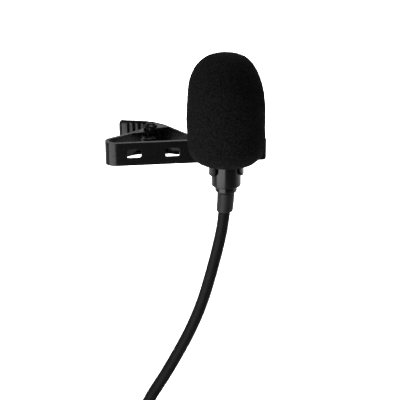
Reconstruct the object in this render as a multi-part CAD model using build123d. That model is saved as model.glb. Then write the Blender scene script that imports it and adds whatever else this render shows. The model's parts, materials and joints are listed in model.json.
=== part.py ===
from build123d import *
import math
import os

# Lavalier microphone in its spring clip, with a foam windscreen and its cable, in millimetres.
# The origin is the grip point: on the back face of the clip's front strip, at mid-height,
# straight behind the microphone's axis. +Z is up along the microphone, -Y is its front and
# +X is the way out of the jaws.

# ---- microphone stack, all on one vertical axis ----
MIC_Y = -11.3
HOUSING_R = 3.78
HOUSING_WALL = 0.35
HOUSING_BOTTOM = -5.75
HOUSING_FLOOR = 1.4
HOUSING_TOP = 8.0
GRILLE_TOP = 11.0
BUSH_R = 2.8
BUSH_BOTTOM = -7.35
SPIGOT_R = 2.0
BOOT_TOP_R = 2.23
BOOT_END_R = 2.13
BOOT_BOTTOM = -12.85
CAPSULE_R = 3.0
CAPSULE_BOTTOM = 4.4
CAPSULE_TOP = 7.4
EASE = 0.02               # hairline between pieces that sit in one another

# ---- foam windscreen ----
FOAM_R = 9.83
FOAM_BOTTOM = 0.1
FOAM_TOP = 28.15
FOAM_SHOULDER_Z = 10.9    # the straight side ends here and the dome starts
FOAM_DOME_POWER = 2.8     # 2 is an ellipse, and more is squarer
FOAM_FOOT_R = 2.7         # flat middle of the underside
FOAM_WAIST_Z = 8.7        # the rounded foot ends here
FOAM_FOOT_POWER = 3.3
RING_GAP = 0.3            # air between the foam's recess and the holder ring

# ---- clip: front strip, U-turn and return band ----
SHEET = 1.0
STRIP_LEFT = -29.75
STRIP_RIGHT = 12.3
STRIP_HEIGHT = 6.15
STRIP_CORNER = 0.6
WINDOW_CENTRES = (-22.4, -12.4)
WINDOW_W = 4.0
WINDOW_H = 2.45
TURN_R = 2.4              # middle of the sheet
BAND_ANGLE = 35.0
PIVOT_X = -16.9
PIVOT_Y = 10.8
EAR_R = 2.0
EAR_SHEET = 0.7
COIL_ROOM = 3.1           # from the pivot's axis to the end of the band, along it

# ---- clip: rear lever ----
LEVER_SHEET = 0.7
LEVER_HEIGHT = 7.6
FLANGE_SHEET = 0.6
FLANGE_R = 1.95
TAB_END = (-25.0, 17.55)
TAB_HEIGHT = 7.8
TAB_NECK_X = -17.5
KNEE = (-15.9, 14.9)
TAPER_START_X = -11.9
JAW_HEEL = (-3.0, 0.95)
JAW_END_X = 11.5
JAW_HEIGHT = 4.1
RIB_PITCH = 1.58
RIB_COUNT = 4
RIB_R = 0.5
TOOTH_COUNT = 7
TOOTH_PITCH = 1.6
TOOTH_TIP_Y = 0.15
BEND_R = 1.2

# ---- clip: rivet, spring ----
RIVET_R = 1.0
RIVET_PLAY = 0.05
RIVET_HEAD_R = 1.75
RIVET_HEAD = 0.35
RIVET_END_R = 1.0         # the shank's rolled end, proud of its head
RIVET_END = 1.0
RIVET_BORE_R = 0.6
WIRE_R = 0.35
LEG_R = 0.3               # a hair inside the turns' sleeve, so that the two join cleanly
SPRING_R = 2.25
SPRING_HALF = 1.85

# ---- microphone holder ----
HOLDER_IN_R = HOUSING_R + RIVET_PLAY
HOLDER_OUT_R = 4.48
HOLDER_BOTTOM = -1.9
HOLDER_TOP = 2.4
HOLDER_OPENING = 48.0     # half angle of the gap in the ring, about -Y
ARM_HALF = 1.5
ARM_TOP = -0.3
PAD_HALF = 2.8
PAD_SHEET = 0.6
PAD_BOTTOM = -2.7
PAD_TOP = 0.9
SMALL_RIVET_X = 2.1
SMALL_RIVET_Z = -0.9
SMALL_RIVET_R = 0.45
SMALL_HEAD_R = 0.75

# ---- cable ----
CABLE_R = 1.56
CABLE_START_Z = -1.5
BEND_SHARE = 0.45         # how much of the shorter run each corner's arc takes up
LEAD_ROUTE = [
    (0, MIC_Y, CABLE_START_Z),
    (0, MIC_Y, -13.0),
    (-2.6, MIC_Y, -26.0),
    (-7.05, -11.4, -42.0),
    (-14.85, -11.7, -57.0),
    (-22.6, -12.6, -68.5),
    (-24.6, -14.5, -79.0),
    (-24.0, -16.0, -89.0),
]
COIL_CENTRE = (-3.55, MIC_Y, -96.0)
COIL_MID_R = 17.3
COIL_RADIAL = 6 * CABLE_R # three turns side by side
COIL_AXIAL = 8 * CABLE_R  # four turns across
COIL_CORNER = 1.4
TAIL_ROUTE = [
    (-24.0, -6.6, -103.5),
    (-24.6, -6.6, -112.0),
    (-24.6, -6.6, -120.5),
]
TIE_SHEET = 0.8
TIE_ARC = 34.0

# ---- jack plug, 3.5 mm ----
PLUG_BOOT_LENGTH = 10.0
PLUG_BOOT_R = 2.9
PLUG_SHELL_LENGTH = 15.0
PLUG_SHELL_R = 3.9
PLUG_SHELL_IN_R = 2.7
JACK_R = 1.75
JACK_STEM_R = 1.4         # inside the shell's nose
NOSE = 1.5
JACK_LENGTH = 14.0
SLEEVE_LENGTH = 7.3
INSULATOR = 0.7
CONTACT_RING = 1.9

BAND_SLOPE = math.tan(math.radians(BAND_ANGLE))


def ring(outer, inner, bottom, top, x=0.0, y=MIC_Y):
    """A round sleeve on a vertical axis, or a disc where inner is zero."""
    section = Circle(outer) - Circle(inner) if inner else Circle(outer)
    return Pos(x, y, bottom) * extrude(section, amount=top - bottom)


def turned(points, x=0.0, y=MIC_Y):
    """A solid turned about a vertical axis from (radius, height) points."""
    face = make_face(Plane.XZ * Polyline(*points, close=True))
    return Pos(x, y, 0) * revolve(face, Axis.Z)


def slab(half_x, y0, y1, z0, z1, x=0.0):
    return Pos(x, (y0 + y1) / 2, (z0 + z1) / 2) * Box(2 * half_x, y1 - y0, z1 - z0)


def bent_sheet(points, radii, thickness, height):
    """A strip of sheet metal standing on edge, bent along a plan route."""
    route = FilletPolyline(*points, radius=radii)
    start = Plane(route @ 0, x_dir=(0, 0, 1), z_dir=route % 0)
    return sweep(start * Rectangle(height, thickness), path=route)


def side_stencil(points, rear=20.0):
    """A block through the whole clip, cut to an outline in X and Z."""
    face = make_face(Plane.XZ * Polyline(*points, close=True))
    return extrude(face, amount=rear, both=True)


# ------------------------------------------------------------------ places on the clip

TURN_CENTRE = Vector(STRIP_LEFT + TURN_R + SHEET / 2, TURN_R - SHEET / 2, 0)
BAND_DIR = Vector(1, 0, 0).rotate(Axis.Z, BAND_ANGLE)
BAND_SIDE = Vector(0, 1, 0).rotate(Axis.Z, BAND_ANGLE)
BAND_START = TURN_CENTRE + BAND_SIDE * TURN_R
PIVOT = Vector(PIVOT_X, PIVOT_Y, 0)
BAND_OFFSET = BAND_SIDE.dot(BAND_START - PIVOT)    # from the pivot's axis up to the band's middle
BAND_END = PIVOT + BAND_SIDE * BAND_OFFSET - BAND_DIR * COIL_ROOM
EAR_TOP = STRIP_HEIGHT / 2
FLANGE_UNDER = LEVER_HEIGHT / 2 - FLANGE_SHEET


# ------------------------------------------------------------------ clip

def front_jaw():
    """Front strip, tight U-turn and return band, with two ears for the pivot rivet."""
    mid = -SHEET / 2
    corner_x = BAND_START.X - (BAND_START.Y - mid) / BAND_SLOPE
    route = [(STRIP_RIGHT, mid), (corner_x, mid), (BAND_END.X, BAND_END.Y)]
    body = bent_sheet(route, TURN_R, SHEET, STRIP_HEIGHT)
    for x in WINDOW_CENTRES:
        body = body - slab(WINDOW_W / 2, -2 * SHEET, SHEET / 2, -WINDOW_H / 2, WINDOW_H / 2, x)
    body = fillet(strip_end_edges(body), STRIP_CORNER)
    for side in (1, -1):
        body = body + ear(side)
    for x in (-SMALL_RIVET_X, SMALL_RIVET_X):
        body = body - small_rivet(x)
    return body - ring(RIVET_R + EASE, 0, -LEVER_HEIGHT, LEVER_HEIGHT, PIVOT.X, PIVOT.Y)


def strip_end_edges(body):
    """The two upright corners at the strip's free end."""
    edges = body.edges().filter_by(Axis.Y).group_by(Axis.X)[-1]
    return edges


def ear(side):
    """A flat lug folded from the band's edge, round the pivot."""
    root = BAND_END - BAND_DIR * 1.6
    hub = Pos(PIVOT.X, PIVOT.Y) * Circle(EAR_R)
    foot = Pos(root.X, root.Y) * Rot(0, 0, BAND_ANGLE) * Rectangle(3.2, SHEET)
    plate = make_hull(hub.edges() + foot.edges())
    bottom = EAR_TOP - EAR_SHEET if side > 0 else -EAR_TOP
    return Pos(0, 0, bottom) * extrude(plate, amount=EAR_SHEET)


def pivot_rivet():
    """Rivet with a flat head and a rolled, hollow end at each side."""
    reach = LEVER_HEIGHT / 2 + RIVET_PLAY
    shank = ring(RIVET_R, 0, -reach, reach, PIVOT.X, PIVOT.Y)
    body = shank + rivet_head(1, reach) + rivet_head(-1, reach)
    return body


def rivet_head(side, reach):
    """A flat head, and the rolled, hollow end of the shank above it."""
    head = ring(RIVET_HEAD_R, 0, 0, RIVET_HEAD, 0, 0)
    end = ring(RIVET_END_R, 0, 0, RIVET_END, 0, 0)
    end = fillet(end.edges().group_by(Axis.Z)[-1], 0.2)
    bore = ring(RIVET_BORE_R, 0, RIVET_HEAD, RIVET_END, 0, 0)
    turn = Rot(0, 0, 0) if side > 0 else Rot(180, 0, 0)
    return Pos(PIVOT.X, PIVOT.Y, side * reach) * turn * (head + end - bore)


def torsion_spring():
    """Envelope of the spring's turns, with both legs in their fully wound place."""
    turns = ring(SPRING_R, SPRING_R - 2 * WIRE_R, -SPRING_HALF, SPRING_HALF, PIVOT.X, PIVOT.Y)
    mean = SPRING_R - WIRE_R
    height = SPRING_HALF - WIRE_R
    rest = BAND_OFFSET + SHEET / 2 + LEG_R + RIVET_PLAY
    band_leg = wire(PIVOT + BAND_SIDE * mean, PIVOT - BAND_DIR * 7 + BAND_SIDE * rest, -height)
    free_dir = BAND_DIR.rotate(Axis.Z, -12)
    free_side = BAND_SIDE.rotate(Axis.Z, -12)
    free_leg = wire(PIVOT + free_side * mean, PIVOT - free_dir * 5 + free_side * mean, height)
    return turns + band_leg + free_leg


def wire(start, end, height):
    a = Vector(start.X, start.Y, height)
    b = Vector(end.X, end.Y, height)
    return extrude(Plane(a, z_dir=b - a) * Circle(LEG_R), amount=(b - a).length)


def rear_jaw():
    """Thumb tab, flanged hub and tapering jaw, pressed from one sheet."""
    route = [TAB_END, KNEE, JAW_HEEL, (JAW_END_X, JAW_HEEL[1])]
    body = bent_sheet(route, BEND_R, LEVER_SHEET, TAB_HEIGHT)
    body = body & side_stencil(lever_outline())
    for side in (1, -1):
        body = body + flange(side)
    body = body + ribs(1) - ribs(-1)
    body = body + teeth()
    hole = ring(RIVET_R + RIVET_PLAY, 0, -LEVER_HEIGHT, LEVER_HEIGHT, PIVOT.X, PIVOT.Y)
    return body - hole


def lever_outline():
    """Side outline of the lever: tab, hub, taper and jaw, mirrored about mid-height."""
    tab, hub, jaw = TAB_HEIGHT / 2, LEVER_HEIGHT / 2, JAW_HEIGHT / 2
    margin = 1.0
    upper = [
        (TAB_END[0] - margin, tab - 0.9),
        (TAB_END[0] + 0.3, tab),
        (TAB_NECK_X - 0.5, tab),
        (TAB_NECK_X, hub),
        (TAPER_START_X, hub),
        (JAW_HEEL[0], jaw),
        (JAW_END_X - 0.8, jaw),
        (JAW_END_X + 0.1, jaw - 0.9),
    ]
    lower = [(x, -z) for x, z in reversed(upper)]
    return upper + lower


def flange(side):
    """A flat cheek along the web's edge that carries the rivet."""
    slope = (JAW_HEEL[1] - KNEE[1]) / (JAW_HEEL[0] - KNEE[0])
    tail = (TAPER_START_X, KNEE[1] + slope * (TAPER_START_X - KNEE[0]))
    tab_slope = (KNEE[1] - TAB_END[1]) / (KNEE[0] - TAB_END[0])
    start = (TAB_NECK_X, TAB_END[1] + tab_slope * (TAB_NECK_X - TAB_END[0]))
    hub = Pos(PIVOT.X, PIVOT.Y) * Circle(FLANGE_R)
    outline = hub.edges()
    for x, y in (start, KNEE, tail):
        outline = outline + (Pos(x, y) * Circle(LEVER_SHEET / 2)).edges()
    plate = make_hull(outline)
    bottom = FLANGE_UNDER if side > 0 else -LEVER_HEIGHT / 2
    return Pos(0, 0, bottom) * extrude(plate, amount=FLANGE_SHEET)


def ribs(side):
    """Upright grip ribs pressed into the thumb tab: proud behind, hollow in front."""
    along = Vector(KNEE[0] - TAB_END[0], KNEE[1] - TAB_END[1], 0).normalized()
    out = Vector(-along.Y, along.X, 0)
    group = Part()
    for i in range(RIB_COUNT):
        spot = Vector(*TAB_END, 0) + along * (1.0 + i * RIB_PITCH)
        spot = spot + out * (LEVER_SHEET / 2 - RIB_R * 0.5 if side > 0 else -LEVER_SHEET / 2 - 0.25)
        length = TAB_HEIGHT - 2.0 if side > 0 else TAB_HEIGHT - 2.2
        group = group + Pos(spot.X, spot.Y, 0) * Cylinder(RIB_R, length)
    return group


def teeth():
    """Ridges on the jaw's gripping face, their tips just clear of the front strip."""
    face_y = JAW_HEEL[1] - LEVER_SHEET / 2
    depth = face_y - TOOTH_TIP_Y
    profile = Polyline((-depth, 0.05), (0, -depth), (depth, 0.05), close=True)
    tooth = extrude(make_face(profile), amount=JAW_HEIGHT / 2 - 0.1, both=True)
    group = Part()
    for i in range(TOOTH_COUNT):
        group = group + Pos(JAW_END_X - 1.6 - i * TOOTH_PITCH, face_y, 0) * tooth
    return group


def mic_holder():
    """Open spring ring round the microphone, on an arm and a pad riveted to the strip."""
    ring_body = ring(HOLDER_OUT_R, HOLDER_IN_R, HOLDER_BOTTOM, HOLDER_TOP)
    reach = 2 * HOLDER_OUT_R
    half = math.radians(HOLDER_OPENING)
    wedge = Polyline((0, 0), (-reach * math.sin(half), -reach * math.cos(half)),
                     (0, -2 * reach), (reach * math.sin(half), -reach * math.cos(half)),
                     close=True)
    mouth = Pos(0, MIC_Y, HOLDER_BOTTOM) * extrude(make_face(wedge), amount=10)
    ring_body = ring_body - mouth
    ring_back = MIC_Y + (HOLDER_IN_R + HOLDER_OUT_R) / 2
    arm = slab(ARM_HALF, ring_back, -SHEET - PAD_SHEET / 2, HOLDER_BOTTOM, ARM_TOP)
    pad = slab(PAD_HALF, -SHEET - PAD_SHEET, -SHEET, PAD_BOTTOM, PAD_TOP)
    pad = fillet(pad.edges().filter_by(Axis.Y), 0.8)
    body = ring_body + arm + pad
    body = body - ring(HOLDER_IN_R, 0, HOLDER_BOTTOM, HOLDER_TOP)
    for x in (-SMALL_RIVET_X, SMALL_RIVET_X):
        body = body - small_rivet(x)
    return body


def small_rivet(x):
    """Shank flush with the strip's back, domed head on the pad."""
    front = -SHEET - PAD_SHEET
    shank = Plane((x, front, SMALL_RIVET_Z), z_dir=(0, 1, 0)) * Circle(SMALL_RIVET_R)
    head = Plane((x, front, SMALL_RIVET_Z), z_dir=(0, -1, 0)) * Circle(SMALL_HEAD_R)
    return extrude(shank, amount=-front) + extrude(head, amount=0.35, taper=25)


def holder_rivets():
    return Compound([small_rivet(x) for x in (-SMALL_RIVET_X, SMALL_RIVET_X)])


# ------------------------------------------------------------------ microphone

def mic_housing():
    inner = HOUSING_R - HOUSING_WALL
    body = ring(HOUSING_R, inner, HOUSING_BOTTOM, HOUSING_TOP)
    floor = ring(HOUSING_R, SPIGOT_R + EASE, HOUSING_BOTTOM, HOUSING_BOTTOM + HOUSING_FLOOR)
    body = body + floor
    return fillet(body.edges().group_by(Axis.Z)[0].sort_by(SortBy.LENGTH)[-1:], 0.25)


def grille_cap():
    """Pierced cap over the capsule, with a skirt inside the housing."""
    inner = HOUSING_R - HOUSING_WALL
    top = 0.45
    body = ring(HOUSING_R, inner - 0.1, HOUSING_TOP, GRILLE_TOP - top)
    body = body + ring(HOUSING_R, 0, GRILLE_TOP - top, GRILLE_TOP)
    body = body + ring(inner - EASE, CAPSULE_R - 0.1, CAPSULE_TOP + EASE, HOUSING_TOP + top)
    body = fillet(body.edges().group_by(Axis.Z)[-1], 0.3)
    for count, radius in ((1, 0.0), (6, 1.25), (12, 2.4)):
        for i in range(count):
            turn = 2 * math.pi * i / count
            x, y = radius * math.cos(turn), MIC_Y + radius * math.sin(turn)
            body = body - ring(0.35, 0, GRILLE_TOP - 2 * top, GRILLE_TOP + top, x, y)
    return body


def grille_felt():
    inner = HOUSING_R - HOUSING_WALL - 0.1
    return ring(inner - EASE, 0, GRILLE_TOP - 1.1, GRILLE_TOP - 0.45 - EASE)


def capsule_can():
    wall = 0.15
    body = ring(CAPSULE_R, CAPSULE_R - wall, CAPSULE_BOTTOM, CAPSULE_TOP)
    return body + ring(CAPSULE_R, 0.6, CAPSULE_TOP - 0.2, CAPSULE_TOP)


def capsule_seat():
    inner = HOUSING_R - HOUSING_WALL
    return ring(inner - EASE, CAPSULE_R + EASE, CAPSULE_BOTTOM - 0.5, CAPSULE_TOP)


def capsule_stack():
    """What the can holds, from its board up to its diaphragm."""
    r = CAPSULE_R - 0.15 - EASE
    z = CAPSULE_BOTTOM
    backplate = ring(r, 0, z + 1.82, z + 2.2)
    for i in range(4):
        turn = math.pi / 2 * i
        backplate = backplate - ring(0.3, 0, z, CAPSULE_TOP, 1.3 * math.cos(turn),
                                     MIC_Y + 1.3 * math.sin(turn))
    return {
        "capsule_board": ring(r, 0, z, z + 0.6),
        "capsule_gate_ring": ring(r, r - 0.5, z + 0.6 + EASE, z + 1.8),
        "capsule_backplate": backplate,
        "capsule_diaphragm": ring(r, 0, z + 2.4, z + 2.7),
    }


def lead_wires():
    """The two cores that run from the cable's end up to the capsule's board."""
    wires = []
    for x in (-0.7, 0.7):
        wires.append(ring(0.3, 0, CABLE_START_Z + EASE, CAPSULE_BOTTOM - EASE, x))
    return Compound(wires)


def cable_crimp():
    top = CABLE_START_Z - 0.1
    return ring(1.95, CABLE_R + EASE, HOUSING_BOTTOM + HOUSING_FLOOR + 0.4 + EASE, top)


def end_bush():
    spigot_top = HOUSING_BOTTOM + HOUSING_FLOOR + 0.4
    bore = CABLE_R + 0.05
    body = ring(BUSH_R, bore, BUSH_BOTTOM, HOUSING_BOTTOM - EASE)
    body = body + ring(SPIGOT_R, bore, BUSH_BOTTOM, spigot_top)
    return fillet(body.edges().group_by(Axis.Z)[0].sort_by(SortBy.LENGTH)[-1:], 0.3)


def cable_boot():
    """Soft sleeve below the bush; its bore flares downwards, where the cable starts to bend."""
    bore = CABLE_R + 0.05
    mouth = CABLE_R + 0.22
    end = 0.25
    return turned([(bore, BUSH_BOTTOM - EASE), (BOOT_TOP_R, BUSH_BOTTOM - EASE),
                   (BOOT_END_R, BOOT_BOTTOM + end), (BOOT_END_R - end, BOOT_BOTTOM),
                   (mouth, BOOT_BOTTOM)])


def rounded_edge(centre, reach, power):
    """A quarter of a squared-off ellipse in (radius, height), from its side to its end."""
    steps = 8
    points = []
    for i in range(1, steps):
        turn = math.pi / 2 * i / steps
        points.append((centre[0] + reach[0] * math.cos(turn) ** (2 / power),
                       centre[1] + reach[1] * math.sin(turn) ** (2 / power)))
    side = (centre[0] + reach[0], centre[1])
    end = (centre[0], centre[1] + reach[1])
    up = 1 if reach[1] > 0 else -1
    return Spline(side, *points, end, tangents=((0, up), (-1, 0)))


def windscreen_foam():
    """Foam cap: rounded foot, straight side, long dome and a blind bore for the microphone."""
    dome = rounded_edge((0, FOAM_SHOULDER_Z), (FOAM_R, FOAM_TOP - FOAM_SHOULDER_Z), FOAM_DOME_POWER)
    foot = rounded_edge((FOAM_FOOT_R, FOAM_WAIST_Z),
                        (FOAM_R - FOAM_FOOT_R, FOAM_BOTTOM - FOAM_WAIST_Z), FOAM_FOOT_POWER)
    side = Line((FOAM_R, FOAM_WAIST_Z), (FOAM_R, FOAM_SHOULDER_Z))
    closing = Polyline((0, FOAM_TOP), (0, FOAM_BOTTOM), (FOAM_FOOT_R, FOAM_BOTTOM))
    face = make_face(Plane.XZ * (foot + side + dome + closing))
    body = Pos(0, MIC_Y, 0) * revolve(face, Axis.Z)
    body = body - ring(HOUSING_R + EASE, 0, FOAM_BOTTOM - 1, GRILLE_TOP + 0.2)
    return body - ring(HOLDER_OUT_R + RING_GAP, 0, FOAM_BOTTOM - 1, HOLDER_TOP + RING_GAP)


# ------------------------------------------------------------------ cable and plug

def corner_radii(route):
    """Radius of each corner's arc, from its two runs and the angle it turns by."""
    points = [Vector(*p) for p in route]
    radii = []
    for before, here, after in zip(points, points[1:], points[2:]):
        one, two = here - before, after - here
        half_turn = math.radians(one.get_angle(two)) / 2
        radii.append(BEND_SHARE * min(one.length, two.length) / math.tan(half_turn))
    return radii


def cable(name, route):
    radii = corner_radii(route)
    path = FilletPolyline(*route, radius=radii)
    body = sweep(Plane(path @ 0, z_dir=path % 0) * Circle(CABLE_R), path=path)
    print(name, "radii", [round(r, 1) for r in radii], "length", round(path.length, 1))
    print(name, "volume over section times length",
          round(body.volume / (math.pi * CABLE_R ** 2 * path.length), 4))
    return body


def about_coil(face, arc, start):
    """Turns a section, drawn in (radius, across) about the coil's axis."""
    placed = Plane((0, 0, 0), x_dir=(1, 0, 0), z_dir=(0, 0, 1)) * face
    swept = revolve(placed, Axis.Y, arc)
    return Pos(*COIL_CENTRE) * Rot(0, start, 0) * swept


def cable_coil():
    section = Pos(COIL_MID_R, 0) * RectangleRounded(COIL_RADIAL, COIL_AXIAL, COIL_CORNER)
    return about_coil(section, 360, 0)


def coil_tie():
    """Fabric tie round the bundle of turns, across the coil from the cable's entry."""
    outer = Pos(COIL_MID_R, 0) * RectangleRounded(COIL_RADIAL + 2 * TIE_SHEET,
                                                  COIL_AXIAL + 2 * TIE_SHEET, 2 * COIL_CORNER)
    inner = Pos(COIL_MID_R, 0) * RectangleRounded(COIL_RADIAL + 2 * EASE,
                                                  COIL_AXIAL + 2 * EASE, COIL_CORNER)
    return about_coil(outer - inner, TIE_ARC, -TIE_ARC / 2)


def plug_parts():
    """Boot, shell, inner body and the contacts of a three-pole jack, tip down."""
    x, y, top = TAIL_ROUTE[-1]
    boot_end = top - PLUG_BOOT_LENGTH
    shell_end = boot_end - PLUG_SHELL_LENGTH
    seam = EASE
    boot = turned([(0, top - EASE), (CABLE_R + 0.5, top - EASE), (PLUG_BOOT_R, boot_end + seam),
                   (0, boot_end + seam)], x, y)
    shell = ring(PLUG_SHELL_R, PLUG_SHELL_IN_R, shell_end, boot_end, x, y)
    shell = shell + ring(PLUG_SHELL_R, JACK_STEM_R + EASE, shell_end, shell_end + NOSE, x, y)
    shell = chamfer(shell.edges().group_by(Axis.Z)[0].sort_by(SortBy.LENGTH)[-1:], 0.6)
    body = ring(PLUG_SHELL_IN_R - EASE, 0, shell_end + NOSE + EASE, boot_end - EASE, x, y)
    parts = {"plug_boot": boot, "plug_shell": shell, "plug_body": body}
    sleeve_end = shell_end - SLEEVE_LENGTH
    ring_top = sleeve_end - INSULATOR
    ring_end = ring_top - CONTACT_RING
    tip_top = ring_end - INSULATOR
    tip_end = shell_end - JACK_LENGTH
    sleeve = ring(JACK_R, 0, sleeve_end + EASE, shell_end - EASE, x, y)
    parts["plug_sleeve"] = sleeve + ring(JACK_STEM_R, 0, sleeve_end + EASE, shell_end + NOSE, x, y)
    parts["plug_contact_ring"] = ring(JACK_R, 0, ring_end + EASE, ring_top - EASE, x, y)
    parts["plug_insulators"] = Compound([
        ring(JACK_R, 0, ring_top, sleeve_end, x, y),
        ring(JACK_R, 0, tip_top, ring_end, x, y)])
    neck = 1.2
    parts["plug_tip"] = turned([(0, tip_top - EASE), (JACK_R, tip_top - EASE),
                                (neck, tip_top - 0.9), (JACK_R, tip_end + 1.7),
                                (JACK_R, tip_end + 1.4), (0.55, tip_end), (0, tip_end)], x, y)
    return parts


def all_parts():
    parts = {
        "front_jaw": front_jaw(),
        "rear_jaw": rear_jaw(),
        "pivot_rivet": pivot_rivet(),
        "torsion_spring": torsion_spring(),
        "mic_holder": mic_holder(),
        "holder_rivets": holder_rivets(),
        "mic_housing": mic_housing(),
        "grille_cap": grille_cap(),
        "grille_felt": grille_felt(),
        "capsule_can": capsule_can(),
        "capsule_seat": capsule_seat(),
        "lead_wires": lead_wires(),
        "cable_crimp": cable_crimp(),
        "end_bush": end_bush(),
        "cable_boot": cable_boot(),
        "windscreen_foam": windscreen_foam(),
        "cable_lead": cable("cable_lead", LEAD_ROUTE),
        "cable_coil": cable_coil(),
        "cable_tail": cable("cable_tail", TAIL_ROUTE),
        "coil_tie": coil_tie(),
    }
    parts.update(capsule_stack())
    parts.update(plug_parts())
    return parts


os.makedirs("parts", exist_ok=True)
for node, shape in all_parts().items():
    export_step(shape, os.path.join("parts", node + ".step"))
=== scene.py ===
import bpy
import bmesh
import json
import math
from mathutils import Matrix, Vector, noise


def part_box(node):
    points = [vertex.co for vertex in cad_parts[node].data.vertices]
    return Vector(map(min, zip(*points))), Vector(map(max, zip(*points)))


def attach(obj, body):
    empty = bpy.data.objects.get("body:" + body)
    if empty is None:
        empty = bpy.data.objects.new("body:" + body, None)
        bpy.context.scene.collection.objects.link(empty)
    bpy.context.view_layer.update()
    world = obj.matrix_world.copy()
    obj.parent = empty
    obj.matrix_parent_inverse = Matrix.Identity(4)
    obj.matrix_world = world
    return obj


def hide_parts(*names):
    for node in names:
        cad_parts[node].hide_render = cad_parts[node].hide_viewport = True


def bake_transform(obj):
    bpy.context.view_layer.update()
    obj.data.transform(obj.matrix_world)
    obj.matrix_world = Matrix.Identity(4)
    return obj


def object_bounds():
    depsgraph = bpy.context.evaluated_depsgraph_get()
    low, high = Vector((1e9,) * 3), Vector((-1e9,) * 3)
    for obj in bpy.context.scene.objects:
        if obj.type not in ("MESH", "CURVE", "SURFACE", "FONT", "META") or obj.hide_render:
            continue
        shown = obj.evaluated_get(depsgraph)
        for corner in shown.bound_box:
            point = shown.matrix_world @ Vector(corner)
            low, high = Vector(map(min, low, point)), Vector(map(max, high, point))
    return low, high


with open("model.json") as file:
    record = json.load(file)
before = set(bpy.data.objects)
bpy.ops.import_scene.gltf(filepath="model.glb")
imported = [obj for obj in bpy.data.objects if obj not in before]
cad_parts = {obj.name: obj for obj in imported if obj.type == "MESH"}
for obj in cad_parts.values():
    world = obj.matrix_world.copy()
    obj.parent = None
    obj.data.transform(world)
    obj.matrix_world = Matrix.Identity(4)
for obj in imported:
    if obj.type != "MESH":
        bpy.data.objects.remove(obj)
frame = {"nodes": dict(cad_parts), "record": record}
cad_low, cad_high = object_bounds()

MM = 0.001
NODES = frame["nodes"]


def mm(*values):
    return Vector(values) * MM


def corners(node):
    """A node's lowest and highest corner in millimetres."""
    low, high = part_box(node)
    return low / MM, high / MM


# ------------------------------------------------------------------ places, from the frame

housing_low, housing_high = corners("mic_housing")
foam_low, foam_high = corners("windscreen_foam")
bush_low, bush_high = corners("end_bush")
boot_low, boot_high = corners("cable_boot")
jaw_low, jaw_high = corners("front_jaw")
lever_high = corners("rear_jaw")[1]
rivet_low, rivet_high = corners("pivot_rivet")
holder_low, holder_high = corners("mic_holder")
coil_low, coil_high = corners("cable_coil")
tie_low, tie_high = corners("coil_tie")
shell_low, shell_high = corners("plug_shell")
plug_boot_low, plug_boot_high = corners("plug_boot")

MIC_Y = (housing_low.y + housing_high.y) / 2
HOUSING_R = (housing_high.x - housing_low.x) / 2
HOLDER_R = (holder_high.x - holder_low.x) / 2
BUSH_R = (bush_high.x - bush_low.x) / 2
FOAM_R = (foam_high.x - foam_low.x) / 2
PIVOT = (rivet_low + rivet_high) / 2
COIL = (coil_low + coil_high) / 2
PLUG = (shell_low + shell_high) / 2

# The clip's two bent sheets, in millimetres.
SHEET = 1.0
STRIP_HALF = jaw_high.z
TURN_R = 2.4
BAND_ANGLE = math.radians(35)
BAND_DIR = Vector((math.cos(BAND_ANGLE), math.sin(BAND_ANGLE)))
BAND_SIDE = Vector((-math.sin(BAND_ANGLE), math.cos(BAND_ANGLE)))
COIL_ROOM = 3.1
TURN_CENTRE = Vector((jaw_low.x + TURN_R + SHEET / 2, TURN_R - SHEET / 2))
BAND_START = TURN_CENTRE + BAND_SIDE * TURN_R
BAND_OFFSET = BAND_SIDE.dot(BAND_START - PIVOT.xy)
BAND_END = PIVOT.xy + BAND_SIDE * BAND_OFFSET - BAND_DIR * COIL_ROOM
EAR_R = 2.0
WINDOW_CENTRES = (-22.4, -12.4)
WINDOW_HALF_W = 1.85
WINDOW_HALF_H = 1.225
WINDOW_CORNER = 0.45
LEVER_SHEET = 0.7
LEVER_ROUTE = [(-25.0, 17.55), (-15.9, 14.9), (-3.0, 0.95), (11.5, 0.95)]
TAB_HALF = lever_high.z
TAB_NECK_X = -17.5
HUB_HALF = 3.8
FLANGE_SHEET = 0.6
FLANGE_R = 1.95
TAPER_START_X = -11.9
JAW_HALF = 2.05


# ------------------------------------------------------------------ camera

LOOK_AT = mm(-6.7, MIC_Y, -9.6)
CAMERA_AZIMUTH = -8.0
CAMERA_ELEVATION = 20.5
CAMERA_DISTANCE = 0.283
CAMERA_LENS = 100.0


def make_camera():
    azimuth = math.radians(CAMERA_AZIMUTH)
    elevation = math.radians(CAMERA_ELEVATION)
    back = Vector((math.sin(azimuth) * math.cos(elevation),
                   -math.cos(azimuth) * math.cos(elevation), math.sin(elevation)))
    data = bpy.data.cameras.new("camera")
    data.lens = CAMERA_LENS
    data.sensor_width = 36.0
    data.clip_start = 0.01
    data.clip_end = 20.0
    camera = bpy.data.objects.new("camera", data)
    camera.location = LOOK_AT + back * CAMERA_DISTANCE
    camera.rotation_mode = "QUATERNION"
    camera.rotation_quaternion = (-back).to_track_quat("-Z", "Y")
    bpy.context.scene.collection.objects.link(camera)
    bpy.context.scene.camera = camera


# ------------------------------------------------------------------ materials

def new_material(name, base, roughness, specular=0.5, metallic=0.0):
    """A Principled material; returns it with its node tree, its shader and an object-space vector."""
    material = bpy.data.materials.new(name)
    material.use_nodes = True
    tree = material.node_tree
    shader = tree.nodes["Principled BSDF"]
    shader.inputs["Base Color"].default_value = (*base, 1.0)
    shader.inputs["Roughness"].default_value = roughness
    shader.inputs["Specular IOR Level"].default_value = specular
    shader.inputs["Metallic"].default_value = metallic
    place = tree.nodes.new("ShaderNodeTexCoord").outputs["Object"]
    return material, tree, shader, place


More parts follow.
